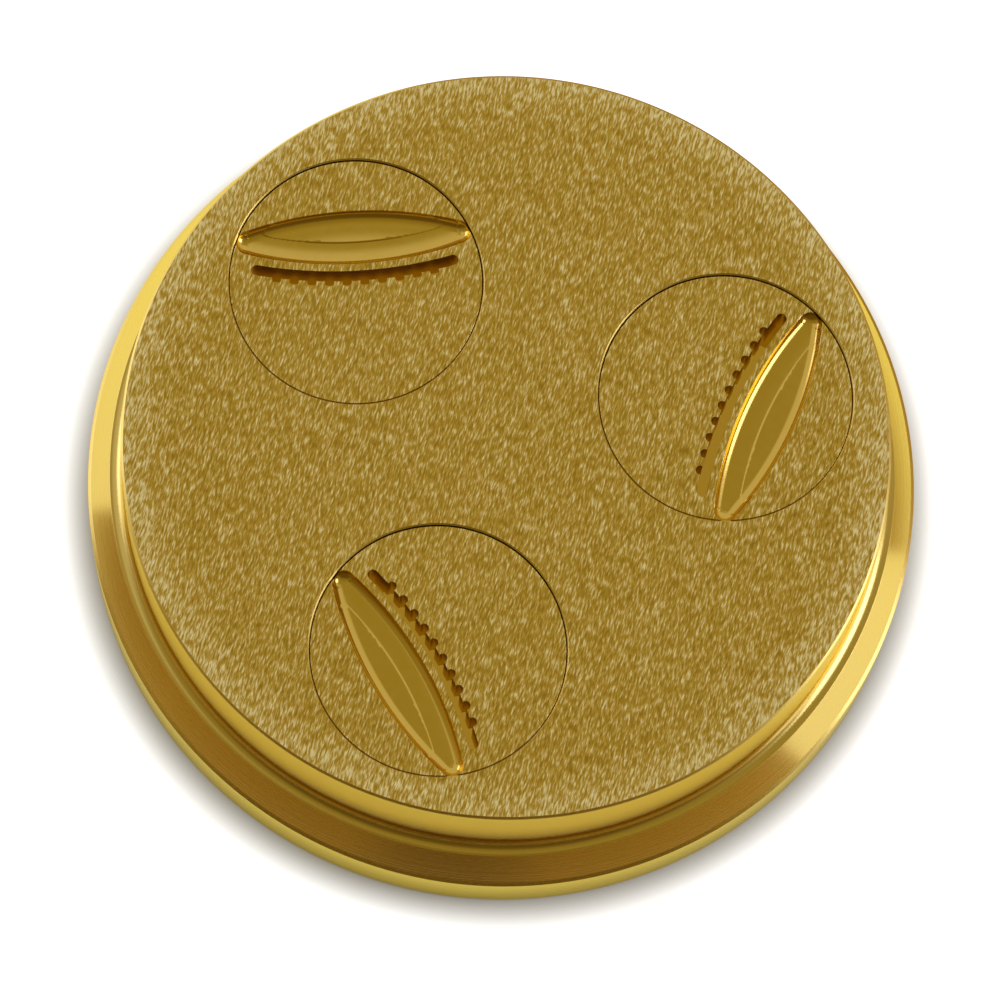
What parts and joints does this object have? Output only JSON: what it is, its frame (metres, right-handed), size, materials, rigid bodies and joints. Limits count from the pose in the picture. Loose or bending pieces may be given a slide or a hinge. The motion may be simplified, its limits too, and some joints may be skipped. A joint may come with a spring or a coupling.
{
  "type": "pasta extrusion die",
  "caption": "Round bronze pasta die: a stepped, flanged body with flush round inserts, each with a toothed arc slot and a lens-shaped recess that curl the dough into ridged shells.",
  "frame": {"origin": "centre of the inlet side, on the die's axis", "axes": "+Z along the die's axis, the way the pasta leaves; the first insert lies 19.6 degrees from +X"},
  "size_m": [0.06, 0.06, 0.0158],
  "materials": {
    "die_body": "sanded face, turned sides",
    "die_insert": "sanded face, milled recess"
  },
  "bodies": {
    "root": {"die_body": "die_body", "insert_right": "die_insert", "insert_back_left": "die_insert", "insert_front": "die_insert"}
  },
  "joints": []
}
